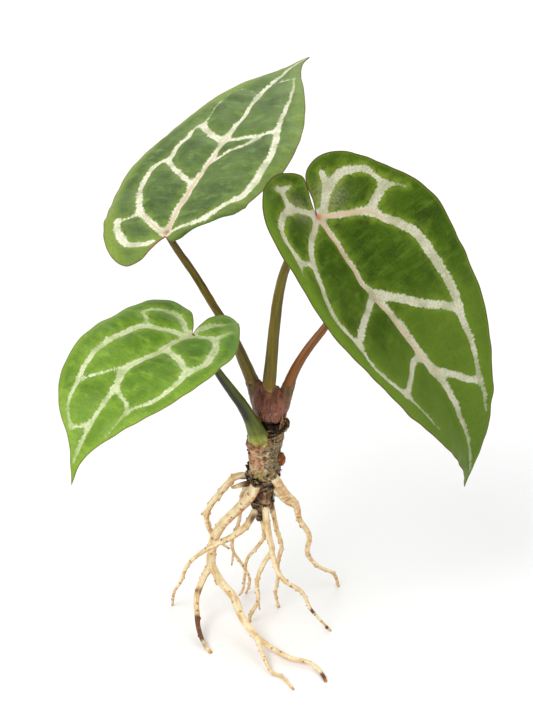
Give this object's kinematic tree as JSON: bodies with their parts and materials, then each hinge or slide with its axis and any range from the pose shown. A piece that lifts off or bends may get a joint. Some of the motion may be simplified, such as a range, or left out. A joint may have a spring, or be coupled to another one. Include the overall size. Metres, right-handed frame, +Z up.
{
  "type": "bare-root anthurium plant",
  "caption": "Bare-root anthurium standing on its splayed root tips, with heart-shaped velvety leaves on slim stalks and broad silvery veins.",
  "frame": {"origin": "on the surface that the root tips stand on, under the middle of the plant's box", "axes": "+Z up along the stem; +X to the side of the largest leaf; -Y towards the side that the leaves face"},
  "size_m": [0.1404, 0.1354, 0.1847],
  "materials": {
    "dark_blade": "velvety deep green with a soft sheen and feathered silvery veins",
    "grey_blade": "satin greyish green with white veins",
    "pale_blade": "satin light green with pale veins",
    "young_blade": "satin reddish brown",
    "olive_stalk": "smooth, slightly glossy olive brown",
    "red_stalk": "smooth, slightly glossy reddish brown",
    "green_stalk": "smooth, nearly black green fading to pale green at the base",
    "sheath": "satin reddish mauve",
    "collar": "dry, torn, nearly black",
    "stem": "matt tan and grey-green bark with rings, scars and papery fibres",
    "bud": "matt orange brown",
    "root": "matt cream with brown nubs, bands and tips"
  },
  "bodies": {
    "root": {"leaf_right": "dark_blade", "leaf_top": "grey_blade", "leaf_left": "pale_blade", "leaf_young": "young_blade", "stalk_top": "olive_stalk", "stalk_right": "olive_stalk", "stalk_young": "red_stalk", "stalk_left": "green_stalk", "sheath": "sheath", "collar": "collar", "collar_knob": "collar", "stem": "stem", "root_bud": "bud", "root_left": "root", "root_fork": "root", "root_front": "root", "root_stub": "root", "root_back": "root", "root_middle": "root", "root_slender": "root", "root_wisp": "root", "root_right": "root"}
  },
  "joints": []
}
